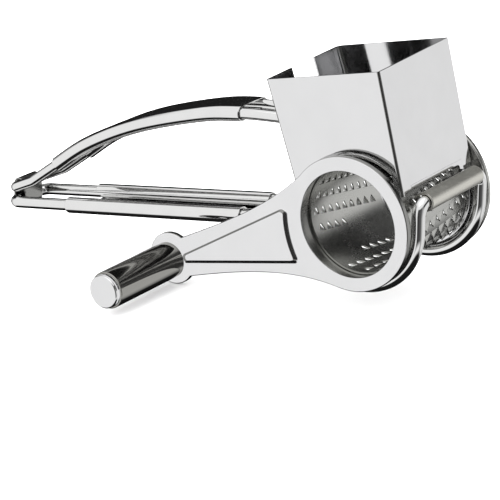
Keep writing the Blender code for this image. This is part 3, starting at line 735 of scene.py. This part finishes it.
# --- Press -------------------------------------------------------------------------------------
def make_press(look):
    """The curved press plate with rounded corners."""
    bm = bmesh.new()
    around, along = 40, 24
    corner, corner_share = 3.0, 0.13
    skins = []
    for radius in (PRESS_RADIUS, PRESS_RADIUS + PRESS_THICKNESS):
        skin = []
        for u in spread(-1, 1, around):
            a = math.radians(90 - PRESS_HALF_ANGLE * u)
            into_corner = max(0.0, abs(u) - (1 - corner_share)) / corner_share
            reach = PRESS_HALF_LENGTH - corner * into_corner ** 2
            skin.append([bm.verts.new((radius * math.cos(a), MIDDLE + reach * v, radius * math.sin(a)))
                         for v in spread(-1, 1, along)])
        skins.append(skin)
        for one, two in zip(skin, skin[1:]):
            for k in range(along):
                bm.faces.new((one[k], two[k], two[k + 1], one[k + 1]))
    low, high = skins
    for i in range(around):
        for k in (0, along):
            bm.faces.new((low[i][k], low[i + 1][k], high[i + 1][k], high[i][k]))
    for i in (0, around):
        for k in range(along):
            bm.faces.new((low[i][k], low[i][k + 1], high[i][k + 1], high[i][k]))
    finish_edges(piece("press_sheet", bm, [look], "press_arm", "press_plate", weighted=False))


# --- Crank -------------------------------------------------------------------------------------
def crank_outline():
    """The crank plate's outline, counterclockwise: boss, lower edge, head, upper edge."""
    boss = arc(KNOB_AXIS, BOSS_RADIUS, 52, 315, 60)
    lower = cubic(boss[-1], (-52, -18), (-29, -17.4), (-9, -24.93), 30)
    head = arc((0, 0), HEAD_RADIUS, 250.15, 492.2, 120)
    upper = cubic(head[-1], (-37.8, 6.6), (-58.5, 1.8), boss[0], 30)
    return boss + lower[1:-1] + head + upper[1:-1]


def pressed_outline(share):
    """The pressed triangle in the crank's arm: a share of 0 is its foot, 1 its raised face."""
    low = -15.3 + 1.8 * share
    side = arc(PRESSED_ARC_CENTRE, PRESSED_ARC_RADIUS + 2.2 * share,
               194.9 - 1.5 * share, 169.4 + 3.5 * share, 14)
    return rounded([((-95.0 + 10.9 * share, low), 2.25 - 1.3 * share),
                    ((-24.5 - 3.0 * share, low), 2.0 - share),
                    *[(p, 0) for p in side],
                    ((-25.4 - 3.0 * share, 8.7 - 2.94 * share), 2.4 - 1.2 * share)], steps=10)


def press_triangle(bm, plane, inward, steps):
    """The triangle on one face of the plate: an S-curved wall with painted shade where it is steep, and its
    raised face.

    Inward starts the wall further in, so that the back face's wall stays inside the front one's.
    The result is the loop at the wall's foot.
    """
    loops = []
    for k in range(steps + 1):
        t = k / steps
        height = PRESSED_HEIGHT * (3 * t * t - 2 * t ** 3)
        loops.append(flat_ring(bm, pressed_outline(t + inward), plane - height))
    for k, (one, two) in enumerate(zip(loops, loops[1:])):
        bridge(bm, one, two, slot=1 if 0.3 * steps <= k < 0.75 * steps else 0)
    fill_flat(bm, loops[-1], [], plane - PRESSED_HEIGHT)
    return loops[0]


def make_crank(look, edge_shade_look):
    """Pressed crank plate: rounded, bent-back edge, rolled window edge, pressed triangle and boss hole."""
    bm = bmesh.new()
    outline = crank_outline()
    sheet = PLATE_THICKNESS
    edge = [flat_ring(bm, inset(outline, sheet), SKIRT_DEPTH), flat_ring(bm, outline, SKIRT_DEPTH)]
    edge += [flat_ring(bm, inset(outline, i), y) for i, y in quarter_round(PLATE_EDGE_EASE, 6)]
    inner_edge = [flat_ring(bm, inset(outline, sheet + i), sheet + y)
                  for i, y in quarter_round(SKIRT_INNER_EASE, 3)]
    window = [flat_ring(bm, circle((0, 0), WINDOW_RADIUS + i, 120), y)
              for y, i in quarter_round(WINDOW_EASE, 5)]
    window.append(flat_ring(bm, circle((0, 0), WINDOW_RADIUS, 120), sheet))
    # The skirt and the outer part of the eased edge take the dark steel: painted shade that outlines the
    # plate.
    painted_shade_bands = 5
    for k, (one, two) in enumerate(zip(edge, edge[1:])):
        bridge(bm, one, two, slot=1 if k < painted_shade_bands else 0)
    bridge(bm, edge[0], inner_edge[0])
    for loops in (inner_edge, window):
        for one, two in zip(loops, loops[1:]):
            bridge(bm, one, two)
    raised = press_triangle(bm, 0.0, 0.0, 12)
    pan = press_triangle(bm, sheet, 0.2, 8)
    hole = circle(KNOB_AXIS, AXLE_RADIUS + 0.15, 32)
    front_hole, back_hole = flat_ring(bm, hole, 0.0), flat_ring(bm, hole, sheet)
    bridge(bm, front_hole, back_hole)
    fill_flat(bm, edge[-1], [window[0], raised, front_hole], 0.0)
    fill_flat(bm, inner_edge[-1], [window[-1], pan, back_hole], sheet)
    piece("crank", bm, [look, edge_shade_look], "drum", "crank_plate", angle=40)


# --- Drum --------------------------------------------------------------------------------------
def drum_point(radius, angle, y):
    """A point on the drum, its angle counted from the first slanted row."""
    a = math.radians(FIRST_ROW + angle + ROW_SLANT * (y - FIRST_ROW_Y))
    return (radius * math.cos(a), y, radius * math.sin(a))


def stagger(column):
    """How far a column's row of teeth is shifted along the drum, to and fro from row to row."""
    return (STAGGER if column // 2 % 2 else -STAGGER) * TOOTH_PITCH


def add_tongue(bm, tip, reach, centre):
    """A tooth's tongue, raised most at the tip: two domed skins, the under one with material slot 1, which
    paints bright glints on it.

    It is a little longer and narrower than the opening, so that its base sinks into the tube.
    """
    sides = (-1, -0.5, 0, 0.5, 1)
    skins = []
    for thick in (0.0, TONGUE_THICKNESS):
        rows = []
        for t, w in TOOTH_OUTLINE:
            row = []
            for side in sides:
                dome = TONGUE_LIFT * (1 - t) ** 0.8 * (1 - TONGUE_DOME * side * side)
                radius = TUBE_RADIUS - TONGUE_THICKNESS + thick + dome
                angle = tip + reach * (t * 1.06 + 0.02)
                y = centre + TOOTH_HALF_WIDTH * w * side * 0.97
                row.append(bm.verts.new(drum_point(radius, angle, y)))
            rows.append(row)
        skins.append(rows)
    under, over = skins
    last = len(sides) - 1
    for rows, slot in ((under, 1), (over, 0)):
        for one, two in zip(rows, rows[1:]):
            for i in range(last):
                bm.faces.new((one[i], one[i + 1], two[i + 1], two[i])).material_index = slot
    for low, high in ((under[0], over[0]), (under[-1], over[-1])):
        for i in range(last):
            bm.faces.new((low[i], low[i + 1], high[i + 1], high[i]))
    for k in range(len(TOOTH_OUTLINE) - 1):
        for i in (0, last):
            bm.faces.new((under[k][i], under[k + 1][i], over[k + 1][i], over[k][i]))


def make_grater(look, glint_look):
    """The grater tube: slanted rows of triangular openings, each with its tongue punched outwards."""
    bm = bmesh.new()
    columns, fine = TOOTH_ROWS * 2, 4
    step = 360 / columns
    around = columns * fine
    first_edge = FIRST_TOOTH - TOOTH_PITCH / 2
    stations = [TUBE_FRONT, *[first_edge + k * TOOTH_PITCH for k in range(TEETH_PER_ROW + 1)], TUBE_REAR]
    last = len(stations) - 1

    def grid_point(radius, c, s):
        """A column's two edges are staggered with their row, and the gap between rows blends them."""
        column, part = divmod(c, fine)
        one, two = stagger(column), stagger(column + 1 if column + 1 < columns else 0)
        shift = (one + (two - one) * part / fine) if 0 < s < last else 0
        return drum_point(radius, c * step / fine, stations[s] + shift)

    grids = [[[bm.verts.new(grid_point(radius, c, s)) for s in range(last + 1)] for c in range(around)]
             for radius in (TUBE_RADIUS, TUBE_RADIUS - TUBE_WALL)]

    def plain(c, s):
        """A cell without a tooth."""
        for grid in grids:
            for f in range(fine):
                a = (c * fine + f) % around
                b = (a + 1) % around
                bm.faces.new((grid[a][s], grid[b][s], grid[b][s + 1], grid[a][s + 1]))

    def tooth(c, s, centre):
        """A cell with an opening, its tip at the column's start and its base at the end, and its tongue."""
        free_end = 0.03
        reach, tip = step * (1 - 2 * free_end), (c + free_end) * step
        sides = [(t, w) for t, w in TOOTH_OUTLINE] + [(t, -w) for t, w in reversed(TOOTH_OUTLINE)]
        count = len(TOOTH_OUTLINE)
        rings = []
        for radius, grid in zip((TUBE_RADIUS, TUBE_RADIUS - TUBE_WALL), grids):
            hole = [bm.verts.new(drum_point(radius, tip + reach * t, centre + TOOTH_HALF_WIDTH * w))
                    for t, w in sides]
            lows = [grid[(c * fine + f) % around][s] for f in range(fine + 1)]
            highs = [grid[(c * fine + f) % around][s + 1] for f in range(fine + 1)]
            for i in range(count - 1):
                bm.faces.new((highs[i], highs[i + 1], hole[i + 1], hole[i]))
                bm.faces.new((lows[i], hole[2 * count - 1 - i], hole[2 * count - 2 - i], lows[i + 1]))
            bm.faces.new((highs[0], hole[0], hole[-1], lows[0]))
            bm.faces.new((highs[-1], lows[-1], hole[count], hole[count - 1]))
            rings.append(hole)
        bridge(bm, *rings)
        add_tongue(bm, tip, reach, centre)

    for c in range(columns):
        for s in range(last):
            centre = (stations[s] + stations[s + 1]) / 2 + stagger(c)
            angle = (FIRST_ROW + (c + 0.5) * step + ROW_SLANT * (centre - FIRST_ROW_Y)) % 360
            if c % 2 == 0 and 0 < s < last - 1 and not SEAM[0] < angle < SEAM[1]:
                tooth(c, s, centre)
            else:
                plain(c, s)
    outer, inner = grids
    for s in (0, -1):
        bridge(bm, [column[s] for column in outer], [column[s] for column in inner])
    piece("grater_tube", bm, [look, glint_look], "drum", "drum_grater_cylinder", angle=30, weighted=False)


def make_flange(look):
    """The rear flange with its bent-back rim."""
    front, back = FLANGE_FRONT, FLANGE_FRONT + FLANGE_DEPTH
    outer, inner, web = FLANGE_RADIUS, FLANGE_RADIUS - FLANGE_THICKNESS, front + FLANGE_THICKNESS
    profile = rounded([((COLLAR_BORE, front), 0.3), ((outer, front), 0.8), ((outer, back), 0.25),
                       ((inner, back), 0.25), ((inner, web), 0.3), ((COLLAR_BORE, web), 0.3)], 4)
    piece("rear_flange", turned(profile, (0, 0), 120), [look], "drum", "drum_rear_flange")


# --- Knob --------------------------------------------------------------------------------------
def end_cap_profile():
    """The end cap as (radius, y) points: a flat face with an eased edge, a groove, a rim and a spigot."""
    face, step, spigot = KNOB_END, KNOB_END + 2.3, KNOB_END + 2.9
    return [(0, face), (5.7, face), (6.1, face + 0.04), (6.4, face + 0.14), (6.6, face + 0.32),
            (6.7, face + 0.6), (6.72, face + 0.9), (6.4, face + 1.05), (6.35, face + 1.3), (6.4, face + 1.5),
            (CAP_RADIUS, face + 1.65), (CAP_RADIUS, step), (BUSH_RADIUS, step), (BUSH_RADIUS, spigot),
            (0, spigot)]


def axle_profile():
    """The axle as (radius, y) points: a flat head in the knob, the pin, and the rivet behind the boss."""
    head = KNOB_END + 3.2
    return [(0, head), (3.1, head), (3.4, head + 0.3), (3.4, head + 1.0), (3.2, head + 1.2),
            (AXLE_RADIUS, head + 1.2), (AXLE_RADIUS, 1.3), (3.9, 1.3), (4.0, 1.45), (3.9, 1.8), (3.4, 2.3),
            (2.2, 2.6), (0, 2.6)]


def make_knob(sleeve_shade_look, cap_look, axle_look, nylon_look):
    """Knob sleeve, end cap, axle, washer and bushes, all kept out of the crank's reflections."""
    made = [make_ring("knob_tube", KNOB_BORE, KNOB_RADIUS, SLEEVE_ENDS, sleeve_shade_look, "knob", "knob_sleeve",
                      KNOB_AXIS, ease=0.35, steps=72)]
    cap = turned(end_cap_profile(), KNOB_AXIS, 72, closed=False)
    made.append(piece("end_cap", cap, [cap_look], "knob", "knob_end_cap"))
    axle = turned(axle_profile(), KNOB_AXIS, 48, closed=False)
    made.append(piece("axle_pin", axle, [axle_look], "drum", "knob_axle"))
    rings = (("washer", WASHER_BORE, WASHER_RADIUS, WASHER_ENDS, "drum", "knob_washer"),
             ("inner_bush", BUSH_BORE, BUSH_RADIUS, INNER_BUSH_ENDS, "knob", "knob_inner_bush"),
             ("outer_bush", BUSH_BORE, BUSH_RADIUS, OUTER_BUSH_ENDS, "knob", "knob_outer_bush"))
    for name, bore, radius, ends, body, node in rings:
        made.append(make_ring(name, bore, radius, ends, nylon_look, body, node, KNOB_AXIS,
                              ease=0.25, steps=48))
    for part in made:
        part.visible_glossy = False


# --- Studio ------------------------------------------------------------------------------------
CAMERA_PLACE = (0.47166, -0.59839, 0.28413)
CAMERA_TURN = (70.271, 2.531, 35.544)
# Light panels round the grater: (heading in degrees from +X towards +Y, brightness).
PANELS = ((-180, 0.55), (-165, 1.0), (-86, 1.0), (-72, 0.0), (-50, 0.06), (-20, 0.10), (22, 0.91),
          (58, 0.91), (80, 0.0), (150, 0.0), (180, 0.55))


def make_floor():
    """A plain pale floor that doesn't show in reflections."""
    bm = bmesh.new()
    bmesh.ops.create_grid(bm, x_segments=8, y_segments=8, size=4.0)
    floor = scene_object("floor", bm)
    look, _, shader = new_material("floor_paper")
    shader.inputs["Base Color"].default_value = (0.90, 0.90, 0.90, 1)
    shader.inputs["Roughness"].default_value = 0.9
    shader.inputs["Specular IOR Level"].default_value = 0.1
    floor.data.materials.append(look)
    floor.visible_glossy = False


def make_world():
    """White all round for soft light. Reflections see white panels with dark gaps between them instead."""
    world = bpy.data.worlds.new("studio")
    bpy.context.scene.world = world
    world.use_nodes = True
    tree = world.node_tree
    link = tree.links.new
    place = add_node(tree, "TexCoord")
    split = add_node(tree, "SeparateXYZ")
    link(place.outputs["Generated"], split.inputs["Vector"])

    def step(axis, dark_end, light_end):
        """0 to 1 as the direction's share along an axis goes from the dark to the light end."""
        made = add_node(tree, "MapRange", From_Min=dark_end, From_Max=light_end)
        made.interpolation_type = "SMOOTHSTEP"
        link(split.outputs[axis], made.inputs["Value"])
        return made.outputs["Result"]

    def combine(operation, one, two):
        made = add_node(tree, "Math")
        made.operation = operation
        link(one, made.inputs[0])
        link(two, made.inputs[1])
        return made.outputs["Value"]

    def both(one, two):
        return combine("MULTIPLY", one, two)

    def either(one, two):
        return combine("MAXIMUM", one, two)

    heading = add_node(tree, "MapRange", From_Min=-math.pi, From_Max=math.pi)
    link(combine("ARCTAN2", split.outputs["Y"], split.outputs["X"]), heading.inputs["Value"])
    panels = add_node(tree, "ValToRGB")
    link(heading.outputs["Result"], panels.inputs["Fac"])
    ramp = panels.color_ramp
    for degrees, _ in PANELS[1:-1]:
        ramp.elements.new((degrees + 180) / 360)
    for element, (_, value) in zip(ramp.elements, PANELS):
        element.color = (value, value, value, 1)

    overhead = both(step("Z", 0.50, 0.62), step("Y", 0.70, 0.55))
    table = both(step("Z", -0.45, -0.60), step("Y", 0.0, -0.30))
    above_table = step("Z", -0.74, -0.64)
    low_or_near = either(step("Y", 0.05, -0.05), step("Z", 0.34, 0.10))
    sides = both(panels.outputs["Color"], low_or_near)
    behind = both(step("Y", 0.80, 0.88), step("Z", 0.35, 0.15))
    light = either(overhead, both(above_table, either(behind, either(table, sides))))
    shade = add_node(tree, "Mix")
    shade.data_type = "RGBA"
    shade.inputs["A"].default_value = (0.012, 0.012, 0.012, 1)
    shade.inputs["B"].default_value = (0.98, 0.98, 0.98, 1)
    link(light, shade.inputs["Factor"])

    rays = add_node(tree, "LightPath")
    pick = add_node(tree, "Mix")
    pick.data_type = "RGBA"
    pick.inputs["A"].default_value = (3.0, 3.0, 3.0, 1)
    link(rays.outputs["Is Glossy Ray"], pick.inputs["Factor"])
    link(shade.outputs["Result"], pick.inputs["B"])
    background = tree.nodes["Background"]
    link(pick.outputs["Result"], background.inputs["Color"])
    background.inputs["Strength"].default_value = 1.0


def make_light(name, place, target, size, power):
    """A soft square light aimed at a point."""
    data = bpy.data.lights.new(name, "AREA")
    data.shape = "SQUARE"
    data.size = size
    data.energy = power
    light = bpy.data.objects.new(name, data)
    light.location = place
    light.rotation_euler = (Vector(target) - Vector(place)).to_track_quat("-Z", "Y").to_euler()
    bpy.context.scene.collection.objects.link(light)


def make_camera():
    """The camera, with a long lens, in front on the right and a little above."""
    data = bpy.data.cameras.new("camera")
    data.sensor_width = 36.0
    data.lens = 144.0
    data.clip_start = 0.05
    camera = bpy.data.objects.new("camera", data)
    camera.location = CAMERA_PLACE
    camera.rotation_euler = [math.radians(a) for a in CAMERA_TURN]
    bpy.context.scene.collection.objects.link(camera)
    bpy.context.scene.camera = camera


# --- Build -------------------------------------------------------------------------------------
polished = steel("polished_steel", (0.785, 0.785, 0.79), 0.07, grain=0.02, smudge=0.03, bump=0.01)
plate_steel = steel("plate_steel", (0.80, 0.80, 0.805), 0.15, (0.15, 1, 1), grain=0.03, smudge=0.03,
                    bump=0.015)
rod_steel = steel("rod_steel", (0.80, 0.80, 0.795), 0.06, (0.1, 1, 1), grain=0.02, smudge=0.03, bump=0.01)
satin = steel("satin_steel", (0.70, 0.70, 0.69), 0.24, (1, 0.2, 1))
knuckle_steel = steel("knuckle_steel", (0.64, 0.63, 0.58), 0.36, (1, 0.1, 1))
# Dark steel: painted shade in the hopper's folds, on the crank's bent-back edge and on the steep wall of its
# pressed triangle. The hinge strap is made of it too.
dark_steel_and_painted_shade = steel("dark_steel_and_painted_shade", (0.30, 0.30, 0.29), 0.16, (0.3, 1, 1), grain=0.03, smudge=0.03, bump=0.02)
# Bright steel on the tongues' undersides: painted highlights for the glinting teeth inside the drum.
painted_glint_steel = steel("painted_glint_steel", (0.95, 0.95, 0.93), 0.42, (1, 0.2, 1))
# Satin steel for the drum, its front collar and rear flange, rougher than the hopper's; its base is darkened
# as painted shade.
painted_shade_satin = steel("painted_shade_satin", (0.50, 0.50, 0.48), 0.24, (1, 0.2, 1))
# The knob's polished steel with its base darkened: painted shade for the dark surroundings it reflects.
knob_painted_shade_steel = steel("knob_painted_shade_steel", (0.34, 0.335, 0.315), 0.07, (1, 0.1, 1), grain=0.02, smudge=0.04, bump=0.01)
nylon = white_nylon()

make_hopper(polished, knuckle_steel, dark_steel_and_painted_shade)
make_lower_rod(rod_steel)
make_upper_rod(rod_steel)
make_grip("lower_grip_sheet", lower_grip_line(), LOWER_ROD, -1, rod_steel, "frame", "lower_grip")
make_grip("upper_grip_sheet", upper_grip_line(), UPPER_ROD, 1, rod_steel, "press_arm", "upper_grip")
make_hinge_strap(dark_steel_and_painted_shade)
make_press(satin)
make_crank(plate_steel, dark_steel_and_painted_shade)
make_ring("front_collar", COLLAR_BORE, COLLAR_RADIUS, FRONT_COLLAR, painted_shade_satin, "drum", "drum_front_collar")
make_ring("rear_collar", COLLAR_BORE, COLLAR_RADIUS, REAR_COLLAR, polished, "drum", "drum_rear_collar")
make_flange(painted_shade_satin)
make_grater(painted_shade_satin, painted_glint_steel)
make_knob(knob_painted_shade_steel, polished, satin, nylon)

make_floor()
make_world()
make_light("overhead", (0.1, -0.1, 1.6), (0.0, 0.0, 0.0), 1.6, 3.0)
make_camera()
bpy.context.scene.view_settings.view_transform = "Standard"
